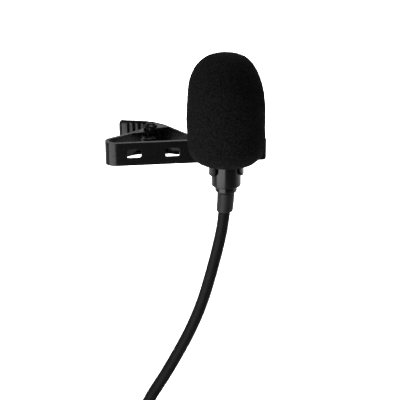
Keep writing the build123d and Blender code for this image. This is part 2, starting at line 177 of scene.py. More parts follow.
def add_noise(tree, place, scale, detail=3.0, stretch=(1, 1, 1)):
    """Noise in cycles per millimetre."""
    mapping = tree.nodes.new("ShaderNodeMapping")
    mapping.inputs["Scale"].default_value = [scale / MM * k for k in stretch]
    tree.links.new(place, mapping.inputs["Vector"])
    node = tree.nodes.new("ShaderNodeTexNoise")
    node.inputs["Scale"].default_value = 1.0
    node.inputs["Detail"].default_value = detail
    tree.links.new(mapping.outputs[0], node.inputs["Vector"])
    return node.outputs["Fac"]


def add_cells(tree, place, scale, feature="F1"):
    mapping = tree.nodes.new("ShaderNodeMapping")
    mapping.inputs["Scale"].default_value = [scale / MM] * 3
    tree.links.new(place, mapping.inputs["Vector"])
    node = tree.nodes.new("ShaderNodeTexVoronoi")
    node.feature = feature
    node.inputs["Scale"].default_value = 1.0
    tree.links.new(mapping.outputs[0], node.inputs["Vector"])
    return node.outputs["Distance"]


def add_ramp(tree, factor, stops):
    """Colour stops are (place, grey or colour)."""
    ramp = tree.nodes.new("ShaderNodeValToRGB")
    elements = ramp.color_ramp.elements
    while len(elements) < len(stops):
        elements.new(0.5)
    for element, (spot, colour) in zip(elements, stops):
        element.position = spot
        if not hasattr(colour, "__len__"):
            colour = (colour, colour, colour)
        element.color = (*colour, 1.0)
    tree.links.new(factor, ramp.inputs["Fac"])
    return ramp.outputs["Color"]


def add_bump(tree, shader, height, distance, strength=1.0, after=None):
    bump = tree.nodes.new("ShaderNodeBump")
    bump.inputs["Distance"].default_value = distance * MM
    bump.inputs["Strength"].default_value = strength
    tree.links.new(height, bump.inputs["Height"])
    if after is not None:
        tree.links.new(after, bump.inputs["Normal"])
    tree.links.new(bump.outputs[0], shader.inputs["Normal"])
    return bump.outputs[0]


def coated_metal(name, base, roughness, specular, grain=0.006):
    """Black coated sheet: patchy gloss, a fine orange-peel and thinner colour on the edges."""
    material, tree, shader, place = new_material(name, base, roughness, specular)
    patches = add_noise(tree, place, 0.35, 4.0)
    tone = add_ramp(tree, patches, [(0.3, [c * 0.75 for c in base]), (0.7, [c * 1.3 for c in base])])
    edge = tree.nodes.new("ShaderNodeNewGeometry").outputs["Pointiness"]
    wear = add_ramp(tree, edge, [(0.56, 0.0), (0.68, 0.03)])
    mix = tree.nodes.new("ShaderNodeMix")
    mix.data_type = "RGBA"
    mix.blend_type = "ADD"
    mix.inputs["Factor"].default_value = 1.0
    tree.links.new(tone, mix.inputs["A"])
    tree.links.new(wear, mix.inputs["B"])
    tree.links.new(mix.outputs["Result"], shader.inputs["Base Color"])
    gloss = add_ramp(tree, add_noise(tree, place, 1.2, 5.0),
                     [(0.25, roughness * 0.8), (0.75, min(1.0, roughness * 1.25))])
    tree.links.new(gloss, shader.inputs["Roughness"])
    add_bump(tree, shader, add_noise(tree, place, 6.0, 2.0), grain, 0.6)
    return material


def rubber(name, base, roughness, specular=0.4):
    material, tree, shader, place = new_material(name, base, roughness, specular)
    tone = add_ramp(tree, add_noise(tree, place, 0.6, 4.0),
                    [(0.3, [c * 0.8 for c in base]), (0.7, [c * 1.25 for c in base])])
    tree.links.new(tone, shader.inputs["Base Color"])
    gloss = add_ramp(tree, add_noise(tree, place, 2.0, 3.0),
                     [(0.3, roughness * 0.85), (0.7, min(1.0, roughness * 1.15))])
    tree.links.new(gloss, shader.inputs["Roughness"])
    add_bump(tree, shader, add_noise(tree, place, 9.0, 2.0), 0.008, 0.5)
    return material


def foam_material():
    """Open-cell foam: bumped cells and speckle, with random tone that is darker where the speckle bump is
    low, painted shade in the pores.
    """
    material, tree, shader, place = new_material("foam", (0.006, 0.006, 0.0062), 0.95, 0.04)
    cells = add_cells(tree, place, 1.9)
    speckle_and_pore_shade = add_noise(tree, place, 2.6, 4.0)
    # colour from the speckle bump: darker where it is low, painted shade in the pores
    tone = add_ramp(tree, speckle_and_pore_shade, [(0.35, (0.0012, 0.0012, 0.0013)), (0.7, (0.009, 0.009, 0.0094))])
    tree.links.new(tone, shader.inputs["Base Color"])
    first = add_bump(tree, shader, cells, 0.18, 0.8)
    add_bump(tree, shader, speckle_and_pore_shade, 0.12, 0.8, first)
    return material


def plain_metal(name, base, roughness):
    material, tree, shader, place = new_material(name, base, roughness, 0.5, 1.0)
    gloss = add_ramp(tree, add_noise(tree, place, 1.5, 4.0, (1, 1, 6)),
                     [(0.3, roughness * 0.7), (0.7, roughness * 1.4)])
    tree.links.new(gloss, shader.inputs["Roughness"])
    tone = add_ramp(tree, add_noise(tree, place, 0.8), [(0.3, [c * 0.88 for c in base]), (0.7, base)])
    tree.links.new(tone, shader.inputs["Base Color"])
    add_bump(tree, shader, add_noise(tree, place, 8.0, 2.0, (1, 1, 8)), 0.003, 0.4)
    return material


def weave(name, base):
    """Woven tape or felt."""
    material, tree, shader, place = new_material(name, base, 0.9, 0.2)
    threads = add_noise(tree, place, 3.0, 2.0, (1, 4, 1))
    tone = add_ramp(tree, threads, [(0.35, [c * 0.5 for c in base]), (0.65, [c * 1.5 for c in base])])
    tree.links.new(tone, shader.inputs["Base Color"])
    add_bump(tree, shader, threads, 0.08, 0.7)
    shader.inputs["Sheen Weight"].default_value = 0.1
    return material


def make_materials():
    return {
        "clip_metal": coated_metal("clip_metal", (0.0024, 0.0024, 0.0025), 0.24, 0.12),
        "rivet_metal": coated_metal("rivet_metal", (0.004, 0.004, 0.0042), 0.28, 0.25),
        "spring_steel": coated_metal("spring_steel", (0.005, 0.005, 0.0052), 0.28, 0.25, 0.003),
        "housing": coated_metal("housing", (0.0015, 0.0015, 0.0016), 0.20, 0.15, 0.003),
        "foam": foam_material(),
        "rubber": rubber("rubber", (0.004, 0.004, 0.0042), 0.55, 0.18),
        "cable_jacket": rubber("cable_jacket", (0.004, 0.004, 0.0042), 0.5, 0.05),
        "felt": weave("felt", (0.03, 0.03, 0.03)),
        "tie_fabric": weave("tie_fabric", (0.012, 0.012, 0.0125)),
        "capsule_metal": plain_metal("capsule_metal", (0.78, 0.78, 0.79), 0.3),
        "contact_metal": plain_metal("contact_metal", (0.80, 0.62, 0.30), 0.16),
        "crimp": plain_metal("crimp", (0.72, 0.56, 0.28), 0.35),
        "wire": rubber("wire", (0.45, 0.03, 0.02), 0.45),
        "board": rubber("board", (0.02, 0.14, 0.07), 0.5),
        "insulator": rubber("insulator", (0.012, 0.012, 0.012), 0.3),
        "plug_shell": coated_metal("plug_shell", (0.010, 0.010, 0.0105), 0.3, 0.45, 0.004),
    }


# ------------------------------------------------------------------ mesh helpers

def add_mesh(name, verts, faces, material, smooth=True):
    mesh = bpy.data.meshes.new(name)
    mesh.from_pydata([Vector(v) * MM for v in verts], [], faces)
    mesh.materials.append(material)
    for polygon in mesh.polygons:
        polygon.use_smooth = smooth
    piece = bpy.data.objects.new(name, mesh)
    bpy.context.scene.collection.objects.link(piece)
    return piece


def tidy_mesh(piece):
    """Welds points that meet and turns every face outwards."""
    mesh = bmesh.new()
    mesh.from_mesh(piece.data)
    bmesh.ops.remove_doubles(mesh, verts=mesh.verts, dist=1e-7)
    bmesh.ops.recalc_face_normals(mesh, faces=mesh.faces)
    mesh.to_mesh(piece.data)
    mesh.free()


def bevel(piece, width, segments=3, angle=35.0):
    modifier = piece.modifiers.new("rounded edges", "BEVEL")
    modifier.width = width * MM
    modifier.segments = segments
    modifier.limit_method = "ANGLE"
    modifier.angle_limit = math.radians(angle)
    modifier.harden_normals = True


def place(piece, body, slot, *nodes):
    """Gives a piece its body and hides the CAD nodes that it stands for; its slot is not used."""
    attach(piece, body)
    if nodes:
        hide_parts(*nodes)
    return piece


def smooth_step(low, high, value):
    share = min(1.0, max(0.0, (value - low) / (high - low)))
    return share * share * (3 - 2 * share)


def spread(low, high, step, marks=()):
    """Evenly spaced values from low to high, with the marks kept exactly."""
    fixed = sorted({low, high, *[m for m in marks if low < m < high]})
    values = [fixed[0]]
    for a, b in zip(fixed, fixed[1:]):
        count = max(1, round((b - a) / step))
        values += [a + (b - a) * i / count for i in range(1, count + 1)]
    return values


def arc_points(centre, radius, start, end, steps):
    """Points on an arc, angles in degrees."""
    points = []
    for i in range(steps + 1):
        angle = math.radians(start + (end - start) * i / steps)
        points.append((centre[0] + radius * math.cos(angle), centre[1] + radius * math.sin(angle)))
    return points


def squared_arc(centre, reach, power, steps):
    """A quarter of a squared-off ellipse in (radius, height), from its side to its end."""
    points = []
    for i in range(steps + 1):
        turn = math.pi / 2 * i / steps
        points.append((centre[0] + reach[0] * max(0.0, math.cos(turn)) ** (2 / power),
                       centre[1] + reach[1] * math.sin(turn) ** (2 / power)))
    return points


def rounded(points, radius, steps=4):
    """A closed outline with its corners rounded."""
    result = []
    count = len(points)
    for i in range(count):
        before, here, after = (Vector(points[(i + k) % count]) for k in (-1, 0, 1))
        one, two = before - here, after - here
        reach = min(radius, one.length * 0.45, two.length * 0.45)
        start, end = here + one.normalized() * reach, here + two.normalized() * reach
        for k in range(steps + 1):
            t = k / steps
            result.append(tuple(start * (1 - t) ** 2 + here * 2 * t * (1 - t) + end * t ** 2))
    return result


def turned(name, profile, material, centre, steps=128, shape=None):
    """Turns a closed outline of (radius, height) points about a vertical axis.

    shape may move a point: it takes the radius, the height and the angle, and returns a place
    beside the axis.
    """
    verts, faces = [], []
    count = len(profile)
    for i in range(steps):
        angle = 2 * math.pi * i / steps
        for radius, height in profile:
            x, y, z = radius * math.cos(angle), radius * math.sin(angle), height
            if shape is not None:
                x, y, z = shape(radius, height, angle)
            verts.append((centre[0] + x, centre[1] + y, z))
    for i in range(steps):
        a, b = i * count, (i + 1) % steps * count
        for j in range(count):
            k = (j + 1) % count
            faces.append((a + j, b + j, b + k, a + k))
    piece = add_mesh(name, verts, faces, material)
    tidy_mesh(piece)
    return piece


def prism(outline, z0, z1, verts, faces):
    """Adds a plate with the given plan outline to a mesh's lists."""
    base = len(verts)
    count = len(outline)
    verts += [(x, y, z0) for x, y in outline] + [(x, y, z1) for x, y in outline]
    faces.append(tuple(base + i for i in reversed(range(count))))
    faces.append(tuple(base + count + i for i in range(count)))
    for i in range(count):
        k = (i + 1) % count
        faces.append((base + i, base + k, base + count + k, base + count + i))


def hull(points):
    """The convex outline round some plan points, anticlockwise."""
    ordered = sorted(set(points))

    def half(run):
        kept = []
        for p in run:
            while len(kept) > 1:
                a, b = kept[-2], kept[-1]
                if (b[0] - a[0]) * (p[1] - a[1]) - (b[1] - a[1]) * (p[0] - a[0]) > 0:
                    break
                kept.pop()
            kept.append(p)
        return kept[:-1]

    return half(ordered) + half(reversed(ordered))


class Route:
    """A plan route of straight runs joined by arcs, read by the distance along it."""

    def __init__(self, points, radii):
        points = [Vector(p) for p in points]
        self.runs = []
        start = points[0]
        for i, radius in enumerate(radii):
            before, here, after = points[i:i + 3]
            one, two = (here - before).normalized(), (after - here).normalized()
            turn = one.angle_signed(two)
            reach = radius * math.tan(abs(turn) / 2)
            entry = here - one * reach
            self.runs.append(("line", start, one, (entry - start).length))
            side = -1 if turn > 0 else 1
            centre = entry + Vector((-one.y, one.x)) * radius * side
            self.runs.append(("arc", centre, entry - centre, radius * abs(turn), side))
            start = here + two * reach
        last = points[-1] - start
        self.runs.append(("line", start, last.normalized(), last.length))
        self.length = sum(run[3] for run in self.runs)

    def at(self, distance):
        """The point there, and the direction to its left."""
        for run in self.runs:
            if distance <= run[3] or run is self.runs[-1]:
                break
            distance -= run[3]
        if run[0] == "line":
            spot, along = run[1] + run[2] * distance, run[2]
            return spot, Vector((-along.y, along.x))
        centre, arm, side = run[1], run[2], run[4]
        turn = distance / arm.length * side
        swung = Vector((arm.x * math.cos(turn) - arm.y * math.sin(turn),
                        arm.x * math.sin(turn) + arm.y * math.cos(turn)))
        return centre + swung, swung.normalized() * -side


def pressed_sheet(at, stations, levels, half_height, thickness, press=None, holes=(), mid_z=0.0):
    """A bent sheet standing on edge, as a closed mesh's points and faces.

    Its levels run from -1 to 1. A hole is (first station, last, first level, last, corner steps).
    """
    rows = len(levels)
    front, back, faces = [], [], []
    for s in stations:
        spot, left = at(s)
        for level in levels:
            z = level * half_height(s)
            push = press(s, spot, z) if press else 0.0
            for side, sheet in ((-thickness / 2, front), (thickness / 2, back)):
                x, y = spot + left * (side + push)
                sheet.append((x, y, mid_z + z))
    cells = {(i, j) for i in range(len(stations) - 1) for j in range(rows - 1)}
    for i0, i1, j0, j1 in holes:
        cells -= {(i, j) for i in range(i0, i1) for j in range(j0, j1)}
    for i, j in sorted(cells):
        a, b = i * rows + j, (i + 1) * rows + j
        faces.append((a, b, b + 1, a + 1))
    for hole in holes:
        faces += hole_corners(front, back, rows, *hole)
    return close_sheet(front, back, faces)


def hole_corners(front, back, rows, i0, i1, j0, j1, steps=5):
    """Fills a hole's four corner cells outside a rounding, as fans of triangles."""
    faces = []
    for i, i_in, j, j_in in ((i0, i0 + 1, j0, j0 + 1), (i1, i1 - 1, j0, j0 + 1),
                             (i1, i1 - 1, j1, j1 - 1), (i0, i0 + 1, j1, j1 - 1)):
        corner, middle = i * rows + j, i_in * rows + j_in
        first, last = i_in * rows + j, i * rows + j_in
        chain = [first]
        for k in range(1, steps):
            turn = math.pi / 2 * k / steps
            chain.append(len(front))
            for sheet in (front, back):
                hub = Vector(sheet[middle])
                to_first, to_last = Vector(sheet[first]) - hub, Vector(sheet[last]) - hub
                sheet.append(tuple(hub + to_first * math.cos(turn) + to_last * math.sin(turn)))
        chain.append(last)
        clockwise = (i == i0) == (j == j0)
        for a, b in zip(chain, chain[1:]):
            faces.append((corner, a, b) if clockwise else (corner, b, a))
    return faces


def close_sheet(front, back, faces):
    """Joins a sheet's two sides along every free edge."""
    count = len(front)
    free = {}
    for face in faces:
        for a, b in zip(face, face[1:] + face[:1]):
            if (b, a) in free:
                del free[(b, a)]
            else:
                free[(a, b)] = True
    closed = list(faces) + [tuple(count + v for v in reversed(face)) for face in faces]
    closed += [(b, a, count + a, count + b) for a, b in free]
    used = sorted({v for face in closed for v in face})
    order = {v: i for i, v in enumerate(used)}
    points = front + back
    return [points[v] for v in used], [tuple(order[v] for v in face) for face in closed]


def end_stations(length, radius, steps=5):
    """Distances that round a sheet's two corners at either end of its route."""
    marks = [radius * (1 - math.cos(math.pi / 2 * k / steps)) for k in range(steps + 1)]
    return marks, [length - m for m in reversed(marks)]


def round_end(distance, radius):
    """How much of its half height a sheet loses this near to its end."""
    if distance >= radius:
        return 0.0
    return radius - math.sqrt(max(0.0, radius ** 2 - (radius - distance) ** 2))


def tube(name, path, radius, material, sides=14):
    """A round wire along some points."""
    path = [Vector(p) for p in path]
    verts, faces = [], []
    side = Vector((0, 0, 1))
    for i, spot in enumerate(path):
        along = (path[min(i + 1, len(path) - 1)] - path[max(i - 1, 0)]).normalized()
        side = (side - along * side.dot(along)).normalized()
        other = along.cross(side)
        for k in range(sides):
            angle = 2 * math.pi * k / sides
            verts.append(spot + (side * math.cos(angle) + other * math.sin(angle)) * radius)
    for i in range(len(path) - 1):
        for k in range(sides):
            n = (k + 1) % sides
            a, b = i * sides, (i + 1) * sides
            faces.append((a + k, a + n, b + n, b + k))
    faces.append(tuple(reversed(range(sides))))
    faces.append(tuple(len(verts) - sides + k for k in range(sides)))
    return add_mesh(name, verts, faces, material)


# ------------------------------------------------------------------ clip

def make_front_jaw(material):
    """Front strip with two windows, U-turn and return band, with two ears for the rivet."""
    mid = -SHEET / 2
    corner_x = BAND_START.x - (BAND_START.y - mid) / math.tan(BAND_ANGLE)
    route = Route([(jaw_high.x, mid), (corner_x, mid), BAND_END], [TURN_R])
    strip_length = route.runs[0][3]
    band_from = strip_length + route.runs[1][3]
    corner = 0.6
    near, far = end_stations(route.length, corner)
    marks = list(near[:-1])
    edges = []
    for x in WINDOW_CENTRES:
        for reach in (WINDOW_HALF_W, WINDOW_HALF_W - WINDOW_CORNER):
            edges += [jaw_high.x - x - reach, jaw_high.x - x + reach]
    stations = spread(0.0, route.length, 0.4, marks + edges + [strip_length, band_from] + far[1:])
    level = WINDOW_HALF_H / STRIP_HALF
    inner = (WINDOW_HALF_H - WINDOW_CORNER) / STRIP_HALF
    levels = spread(-1.0, 1.0, 0.12, (-level, -inner, inner, level))

    def half_height(s):
        return STRIP_HALF - round_end(s, corner) - round_end(route.length - s, corner)

    def nearest(values, wanted):
        return min(range(len(values)), key=lambda i: abs(values[i] - wanted))

    holes = []
    for x in WINDOW_CENTRES:
        centre = jaw_high.x - x
        holes.append((nearest(stations, centre - WINDOW_HALF_W), nearest(stations, centre + WINDOW_HALF_W),
                      nearest(levels, -level), nearest(levels, level)))
    verts, faces = pressed_sheet(route.at, stations, levels, half_height, SHEET, holes=holes)
    for side in (1, -1):
        root = BAND_END - BAND_DIR * 1.5
        foot = [tuple(root + BAND_DIR * a + BAND_SIDE * b) for a in (-1.6, 1.6) for b in (-0.45, 0.45)]
        outline = hull(arc_points(PIVOT.xy, EAR_R, 0, 350, 35) + foot)
        low, high = sorted((side * (STRIP_HALF - 0.7), side * (STRIP_HALF - 0.02)))
        prism(outline, low, high, verts, faces)
    piece = add_mesh("clip_front_strip", verts, faces, material)
    tidy_mesh(piece)
    bevel(piece, 0.13)
    return place(piece, "clip_front", "clip_metal", "front_jaw")


def make_rear_jaw(material):
    """Ribbed thumb tab, hub with its cheeks, tapering web and toothed jaw."""
    bend = 1.2
    route = Route(LEVER_ROUTE, [bend, bend])
    corner = 1.0
    near, far = end_stations(route.length, corner)
    stations = spread(0.0, route.length, 0.2, near[:-1] + far[1:])
    levels = spread(-1.0, 1.0, 0.07)
    groove_count, groove_start, groove_pitch = 3, 2.95, 1.6
    groove_width, groove_depth = 0.24, 0.34
    edge_roll, end_roll, lip_height = 0.15, 0.6, 0.55
    tooth_pitch, tooth_depth = 1.6, 0.42
    heel_x = LEVER_ROUTE[2][0]

    def half_at(x):
        half = TAB_HALF - (TAB_HALF - HUB_HALF) * smooth_step(TAB_NECK_X - 0.3, TAB_NECK_X + 0.9, x)
        taper = min(1.0, max(0.0, (x - TAPER_START_X) / (heel_x - TAPER_START_X)))
        return half - (HUB_HALF - JAW_HALF) * taper

    def half_height(s):
        x = route.at(s)[0].x
        return half_at(x) - round_end(s, corner) - round_end(route.length - s, 0.7)

    def press(s, spot, z):
        half = half_height(s)
        edge = half - abs(z)
        push = 0.0
        on_tab = 1 - smooth_step(TAB_NECK_X - 0.6, TAB_NECK_X + 0.4, spot.x)
        if on_tab > 0:
            inside = smooth_step(0.5, 1.1, edge)
            for i in range(groove_count):
                gap = (s - groove_start - i * groove_pitch) / groove_width
                push += groove_depth * math.exp(-gap * gap) * inside
            push += edge_roll * (1 - smooth_step(0.0, 0.7, edge)) * on_tab
            push += end_roll * (1 - smooth_step(0.0, 1.2, s))
        lip = smooth_step(TAPER_START_X - 1.5, TAPER_START_X, spot.x)
        lip *= 1 - smooth_step(heel_x - 1, heel_x + 1.5, spot.x)
        push -= lip_height * lip * (1 - smooth_step(0.0, 0.8, edge))
        teeth = smooth_step(heel_x + 1.0, heel_x + 2.0, spot.x)
        if teeth > 0:
            wave = abs((spot.x / tooth_pitch) % 1.0 - 0.5) * 2
            push -= tooth_depth * teeth * max(0.0, wave - 0.35) / 0.65
        return push

    verts, faces = pressed_sheet(route.at, stations, levels, half_height, LEVER_SHEET, press)
    web = []
    for s in spread(0.0, route.length, 0.3):
        spot, left = route.at(s)
        if TAB_NECK_X < spot.x < TAPER_START_X + 0.6:
            web.append(tuple(spot - left * LEVER_SHEET * 0.3))
    outline = hull(arc_points(PIVOT.xy, FLANGE_R, 0, 350, 35) + web)
    for side in (1, -1):
        low, high = sorted((side * (HUB_HALF - FLANGE_SHEET), side * (HUB_HALF - 0.01)))
        prism(outline, low, high, verts, faces)
    piece = add_mesh("clip_rear_lever", verts, faces, material)
    tidy_mesh(piece)
    bevel(piece, 0.1)
    return place(piece, "rear_lever", "clip_metal", "rear_jaw")


def make_rivet(material):
    """Shank through both cheeks, with a sloped head and a rolled, hollow end at each side."""
    head_z = HUB_HALF + 0.05
    head_r, end_r, bore_r, top = 1.75, 1.0, 0.55, rivet_high.z
    head = [(end_r - 0.05, head_z), (head_r - 0.02, head_z), (head_r, head_z + 0.08)]
    head += [(end_r + 0.36, head_z + 0.44), (end_r + 0.02, head_z + 0.58)]
    half = head + arc_points((end_r - 0.2, top - 0.2), 0.2, 0, 180, 9)
    half += [(bore_r, top - 0.35), (bore_r - 0.03, head_z - 0.3), (0.0, head_z - 0.3)]
    lower = [(r, -z) for r, z in reversed(half)]
    piece = turned("pivot_rivet_body", lower + half, material, PIVOT, 96)
    return place(piece, "clip_front", "rivet_metal", "pivot_rivet")


def make_spring(material):
    """Wire spring round the rivet: one leg along the band, the other up to the thumb tab."""
    wire_r, mean, turns, half = 0.33, 1.9, 3.75, 1.42
    band_leg, free_leg = 6.4, 7.8
    start = BAND_ANGLE + math.pi / 2
    path = []
    leg_rest = BAND_OFFSET + SHEET / 2 + wire_r + 0.05
    leg_end = PIVOT.xy - BAND_DIR * band_leg + BAND_SIDE * leg_rest
    leg_top = PIVOT.xy + Vector((math.cos(start), math.sin(start))) * mean
    for i in range(12):
        path.append((*leg_end.lerp(leg_top, i / 12), half))
    steps = round(turns * 36)
    for i in range(steps + 1):
        angle = start - 2 * math.pi * turns * i / steps
        height = half - 2 * half * smooth_step(-0.05, 1.05, i / steps)
        path.append((PIVOT.x + mean * math.cos(angle), PIVOT.y + mean * math.sin(angle), height))
    leave = angle - math.pi / 2
    last = Vector(path[-1])
    for i in range(1, 13):
        path.append(tuple(last + Vector((math.cos(leave), math.sin(leave), 0)) * free_leg * i / 12))
    piece = tube("spring_wire", path, wire_r, material)
    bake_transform(piece)
    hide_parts("torsion_spring")
    return piece


# ------------------------------------------------------------------ microphone holder

def make_holder(material):
    """Open spring ring with flared tips, on an arm and a pad."""
    sheet = HOLDER_R - HOUSING_R - 0.05
    mean = HOLDER_R - sheet / 2
    opening = 46.0
    sweep = math.radians(360 - 2 * opening)
    start = math.radians(-90 + opening)
    half = (holder_high.z - holder_low.z - 0.8) / 2
    length = mean * sweep
    corner = 1.0

    def at(s):
        angle = start + s / mean
        left = Vector((-math.cos(angle), -math.sin(angle)))
        return Vector((0, MIC_Y)) - left * mean, left

    def half_height(s):
        return half - round_end(s, corner) - round_end(length - s, corner)

    def press(s, spot, z):
        return -0.22 * (1 - smooth_step(0.0, 1.6, min(s, length - s)))

    near, far = end_stations(length, corner)
    stations = spread(0.0, length, 0.3, near[:-1] + far[1:])
    ring_z = holder_low.z + half
    verts, faces = pressed_sheet(at, stations, spread(-1.0, 1.0, 0.2), half_height, sheet, press,
                                 mid_z=ring_z)
    arm_top, arm_half = -0.3, 1.5
    back = MIC_Y + mean
    arm = rounded([(-arm_half, back - 0.1), (arm_half, back - 0.1), (arm_half - 0.25, back + 1.6),
                   (arm_half, -SHEET - 0.3), (-arm_half, -SHEET - 0.3),
                   (0.25 - arm_half, back + 1.6)], 0.2, 2)
    prism(arm, holder_low.z + 0.05, arm_top, verts, faces)
    pad_half, pad_low, pad_high = 2.8, -2.7, 0.9
    pad_mid, pad_reach = (pad_low + pad_high) / 2, (pad_high - pad_low) / 2

    def pad_at(s):
        return Vector((pad_half - s, -SHEET - 0.3)), Vector((0, -1))

    def pad_height(s):
        return pad_reach - round_end(s, 0.8) - round_end(2 * pad_half - s, 0.8)

    near, far = end_stations(2 * pad_half, 0.8)
    pad_stations = spread(0.0, 2 * pad_half, 0.4, near[:-1] + far[1:])
    pad_verts, pad_faces = pressed_sheet(pad_at, pad_stations, spread(-1.0, 1.0, 0.25), pad_height, 0.58,
                                         mid_z=pad_mid)
    base = len(verts)
    verts += pad_verts
    faces += [tuple(base + v for v in face) for face in pad_faces]
    piece = add_mesh("holder_clip", verts, faces, material)
    tidy_mesh(piece)
    bevel(piece, 0.1)
    return place(piece, "clip_front", "clip_metal", "mic_holder")


def make_small_rivets(material):
    """Two domed heads on the holder's pad, with their shanks' flat ends at the strip's back."""
    verts, faces = [], []
    front, spot_x, spot_z, head_r, rise = -SHEET - 0.6, 2.1, -0.9, 0.75, 0.36
    profile = [(0.44, 0.0), (head_r, front)]
    profile += [(head_r * math.cos(a), front - 0.05 - rise * math.sin(a))
                for a in (math.pi / 2 * k / 6 for k in range(6))]
    sides = 24
    for x in (-spot_x, spot_x):
        base = len(verts)
        for radius, y in profile:
            for k in range(sides):
                angle = 2 * math.pi * k / sides
                verts.append((x + radius * math.cos(angle), y, spot_z + radius * math.sin(angle)))
        for i in range(len(profile) - 1):
            for k in range(sides):
                a, b, n = base + i * sides, base + (i + 1) * sides, (k + 1) % sides
                faces.append((a + k, b + k, b + n, a + n))
        faces.append(tuple(base + k for k in range(sides)))
        top = base + (len(profile) - 1) * sides
        faces.append(tuple(top + k for k in reversed(range(sides))))
    piece = add_mesh("pad_rivets", verts, faces, material)
    tidy_mesh(piece)
    return place(piece, "clip_front", "rivet_metal", "holder_rivets")


# ------------------------------------------------------------------ microphone

def make_housing(material):
    """Smooth turned housing with finely broken edges and a floor round the bush's neck."""
    low, high, wall, floor, neck = housing_low.z, housing_high.z, 0.35, 1.4, 2.02
    profile = [(neck, low + floor), (neck, low)]
    profile += arc_points((HOUSING_R - 0.22, low + 0.22), 0.22, -90, 0, 6)
    profile += arc_points((HOUSING_R - 0.1, high - 0.1), 0.1, 0, 90, 4)
    profile += [(HOUSING_R - wall, high), (HOUSING_R - wall, low + floor)]
    piece = turned("housing_shell", profile, material, (0, MIC_Y, 0))
    return place(piece, "microphone", "housing", "mic_housing")


def make_bush(material):
    """Plain ring under the housing, with finely broken edges."""
    low, high = bush_low.z, housing_low.z
    bore, neck = CABLE_D / 2 + 0.04, 2.0
    profile = [(bore, low)]
    profile += arc_points((BUSH_R - 0.2, low + 0.2), 0.2, -90, 0, 6)
    profile += arc_points((BUSH_R - 0.12, high - 0.16), 0.12, 0, 80, 3)
    profile += [(neck, high - 0.02), (neck, bush_high.z), (bore, bush_high.z)]
    piece = turned("bush_ring", profile, material, (0, MIC_Y, 0), 96)
    return place(piece, "microphone", "housing", "end_bush")


def make_boot(material):
    """Tapered strain relief that leans a little with the cable."""
    low, high = boot_low.z, boot_high.z
    top_r, end_r, bore = 2.23, 2.13, CABLE_D / 2 + 0.02
    lean = -0.35

    def taper(z):
        return end_r + (top_r - end_r) * (z - low) / (high - low)

    profile = [(bore, high), (top_r - 0.1, high)]
    for k in range(1, 12):
        z = high - (high - low - 0.4) * k / 12
        profile.append((taper(z), z))
    profile += arc_points((end_r - 0.3, low + 0.3), 0.3, 0, -80, 6)
    profile += [(bore + 0.05, low), (bore, low + 0.5)]

    def shape(radius, z, angle):
        share = (high - z) / (high - low)
        return (radius * math.cos(angle) + lean * share ** 1.5, radius * math.sin(angle), z)

    piece = turned("boot_sleeve", profile, material, (0, MIC_Y, 0), 96, shape)
    return place(piece, "microphone", "rubber", "cable_boot")


def make_foam(material):
    """Open-cell foam cap: pores pressed into a smooth dome, and a bore for the microphone."""
    bore_r, bore_top, recess_r, recess_top = HOUSING_R + 0.02, 11.2, HOLDER_R + 0.3, 2.7
    low, top = foam_low.z, foam_high.z
    waist, shoulder, foot_r = 8.7, 10.9, 2.7
    foot = squared_arc((foot_r, waist), (FOAM_R - foot_r, low - waist), 3.3, 110)
    foot = [p for p in foot if p[0] > recess_r + 0.2]
    dome = squared_arc((0, shoulder), (FOAM_R, top - shoulder), 2.8, 190)
    side = [(FOAM_R, waist + (shoulder - waist) * k / 12) for k in range(1, 12)]
    inside = [(0, bore_top), (bore_r, bore_top), (bore_r, recess_top), (recess_r, recess_top),
              (recess_r, low + 0.1), (recess_r + 0.1, low + 0.02)]
    pore, depth, swell = 0.52, 0.13, 0.1

    def shape(radius, z, angle):
        x, y = math.cos(angle), math.sin(angle)
        outer = 1.0 if z > bore_top + 0.5 else smooth_step(recess_r, recess_r + 1.2, radius)
        spot = Vector((radius * x, radius * y, z))
        near = noise.voronoi(spot / pore)[0][0]
        fine = noise.fractal(spot / 0.35, 1.0, 2.0, 2)
        broad = noise.noise(spot / 5.0)
        push = (fine * 0.04 - depth * max(0.0, 0.55 - near) + broad * swell) * outer
        out = Vector((x * radius / FOAM_R, y * radius / FOAM_R, (z - waist) / (top - waist)))
        if z < waist:
            out.z = (z - waist) / (waist - low)
        out.normalize()
        spot += out * push
        lean = -0.2 * smooth_step(6, 12, z) - 0.35 * smooth_step(15, 25, z)
        lean *= 1 - 0.8 * smooth_step(24.5, 29, z)
        return spot.x + lean * outer, spot.y, spot.z

    profile = inside + list(reversed(foot)) + side + dome
    piece = turned("foam_cap", profile, material, (0, MIC_Y, 0), 360, shape)
    place(piece, "windscreen", "foam", "windscreen_foam")
    return piece


# ------------------------------------------------------------------ cable

CABLE_D = 3.12
LEAD_POINTS = [
    (0, -11.3, -1.5),
    (0, -11.3, -13.0),
    (-2.6, -11.3, -26.0),
    (-7.05, -11.4, -42.0),
    (-14.85, -11.7, -57.0),
    (-22.6, -12.6, -68.5),
    (-24.6, -14.5, -79.0),
    (-24.0, -16.0, -89.0),
]
TAIL_POINTS = [
    (-24.0, -6.6, -103.5),
    (-24.6, -6.6, -112.0),
    (-24.6, -6.6, -120.5),
]
COIL_MID_R = 17.3
POINTS_PER_TURN = 16
# Each turn's place in the bundle, as (steps out from the middle, steps across).
COIL_SLOTS = [(1, -1.5), (0, -1.5), (-1, -1.5), (-1, -0.5), (0, -0.5),
              (0, 0.5), (-1, 0.5), (-1, 1.5), (0, 1.5), (1, 1.5)]


